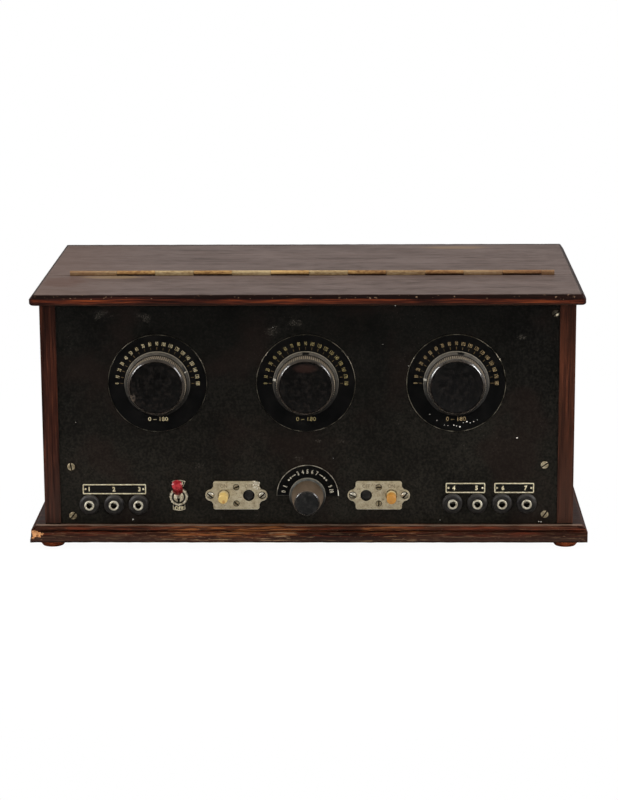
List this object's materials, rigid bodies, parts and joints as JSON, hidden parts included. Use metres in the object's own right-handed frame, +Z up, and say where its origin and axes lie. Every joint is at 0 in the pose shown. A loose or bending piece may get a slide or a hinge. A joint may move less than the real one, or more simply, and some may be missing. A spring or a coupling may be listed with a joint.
{
  "type": "tube radio",
  "caption": "Tube radio receiver in a wooden case with a hinged rear lid, an ebonite panel with dial knobs, a coupling knob, push buttons, a toggle switch and plug sockets.",
  "frame": {"origin": "centre of the outline seen from above, on the surface that the feet stand on", "axes": "+X to the right, the front panel faces -Y, +Z up"},
  "size_m": [0.453, 0.2782, 0.214],
  "materials": {
    "mahogany": "worn dark stain",
    "top_wood": "rubbed satin polish",
    "plywood": "unfinished",
    "foot_wood": "stained",
    "ebonite": "dull with fine scratches",
    "screw_brass": "aged",
    "hinge_brass": "aged",
    "etched_plate": "black enamel with etched marks",
    "label_metal": "black enamel in a bare metal border",
    "bakelite": "soft gloss",
    "nickel": "worn nickel plating",
    "switch_nickel": "dull nickel plating",
    "frame_board": "laminated board",
    "vane_aluminium": "satin",
    "former_board": "lacquered",
    "silk_wire": "silk covered wire",
    "valve_base": "moulded",
    "bulb_glass": "clear with a silvery cap inside",
    "electrode_nickel": "dull",
    "core_steel": "lacquered laminations",
    "paper_winding": "waxed",
    "leak_lacquer": "lacquered",
    "tinned_copper": "tinned",
    "knob_ebonite": "worn ebonite",
    "red_lacquer": "glossy",
    "ivory": "yellowed"
  },
  "bodies": {
    "cabinet": {"base_board": "mahogany", "side_left": "mahogany", "side_right": "mahogany", "back_panel": "plywood", "top_strip": "top_wood", "panel_battens": "plywood", "feet": "foot_wood", "front_panel": "ebonite", "panel_screws": "screw_brass", "hinge_leaf_fixed": "hinge_brass", "hinge_pin": "hinge_brass", "scale_plate_left": "etched_plate", "scale_plate_middle": "etched_plate", "scale_plate_right": "etched_plate", "coupling_plate": "etched_plate", "label_plates": "label_metal", "socket_collars": "bakelite", "sockets": "nickel", "toggle_body": "nickel", "toggle_tag": "nickel", "switch_plate_left": "switch_nickel", "switch_plate_right": "switch_nickel", "switch_screws": "nickel", "switch_housings": "bakelite", "shaft_bushes": "screw_brass", "condenser_frame_left": "frame_board", "condenser_frame_middle": "frame_board", "condenser_frame_right": "frame_board", "stator_left": "vane_aluminium", "stator_middle": "vane_aluminium", "stator_right": "vane_aluminium", "coil_formers": "former_board", "coil_windings": "silk_wire", "coupling_former": "former_board", "coupling_winding": "silk_wire", "valve_holders": "bakelite", "valve_bases": "valve_base", "valve_bulbs": "bulb_glass", "valve_electrodes": "electrode_nickel", "transformer_cores": "core_steel", "transformer_windings": "paper_winding", "grid_leaks": "leak_lacquer", "bus_wires": "tinned_copper", "terminal_strip": "bakelite"},
    "lid": {"lid_board": "top_wood", "hinge_leaf_lid": "hinge_brass"},
    "dial_left": {"knob_left": "knob_ebonite", "rotor_left": "vane_aluminium"},
    "dial_middle": {"knob_middle": "knob_ebonite", "rotor_middle": "vane_aluminium"},
    "dial_right": {"knob_right": "knob_ebonite", "rotor_right": "vane_aluminium"},
    "coupling": {"coupling_knob": "knob_ebonite", "coupling_rotor": "former_board"},
    "toggle": {"toggle_lever": "nickel", "toggle_cap": "red_lacquer"},
    "ivory_left": {"button_ivory_left": "ivory"},
    "black_left": {"button_black_left": "bakelite"},
    "black_right": {"button_black_right": "bakelite"},
    "ivory_right": {"button_ivory_right": "ivory"}
  },
  "joints": [
    {"name": "lid_hinge", "type": "hinge", "parent": "cabinet", "child": "lid", "pos_m": [0, -0.02735, 0.2119], "axis": [1, 0, 0], "range_deg": [0, 180]},
    {"name": "tuning_left", "type": "hinge", "parent": "cabinet", "child": "dial_left", "pos_m": [-0.121, -0.11115, 0.1362], "axis": [0, 1, 0], "range_deg": [-157, 23]},
    {"name": "tuning_middle", "type": "hinge", "parent": "cabinet", "child": "dial_middle", "pos_m": [-0.0014, -0.11115, 0.1362], "axis": [0, 1, 0], "range_deg": [-8, 172]},
    {"name": "tuning_right", "type": "hinge", "parent": "cabinet", "child": "dial_right", "pos_m": [0.1195, -0.11115, 0.1362], "axis": [0, 1, 0], "range_deg": [-8, 172]},
    {"name": "coupling_turn", "type": "hinge", "parent": "cabinet", "child": "coupling", "pos_m": [-0.0005, -0.11115, 0.0432], "axis": [0, 1, 0], "range_deg": [-90, 90]},
    {"name": "toggle_throw", "type": "hinge", "parent": "cabinet", "child": "toggle", "pos_m": [-0.1053, -0.11115, 0.0423], "axis": [1, 0, 0], "range_deg": [0, 72]},
    {"name": "push_ivory_left", "type": "slide", "parent": "cabinet", "child": "ivory_left", "axis": [0, 1, 0], "range_m": [0, 0.01]},
    {"name": "push_black_left", "type": "slide", "parent": "cabinet", "child": "black_left", "axis": [0, 1, 0], "range_m": [-0.01, 0]},
    {"name": "push_ivory_right", "type": "slide", "parent": "cabinet", "child": "ivory_right", "axis": [0, 1, 0], "range_m": [0, 0.01]},
    {"name": "push_black_right", "type": "slide", "parent": "cabinet", "child": "black_right", "axis": [0, 1, 0], "range_m": [-0.01, 0]}
  ],
  "couplings": [
    {"joint": "push_black_left", "follows": "push_ivory_left", "ratio": -1},
    {"joint": "push_black_right", "follows": "push_ivory_right", "ratio": -1}
  ]
}
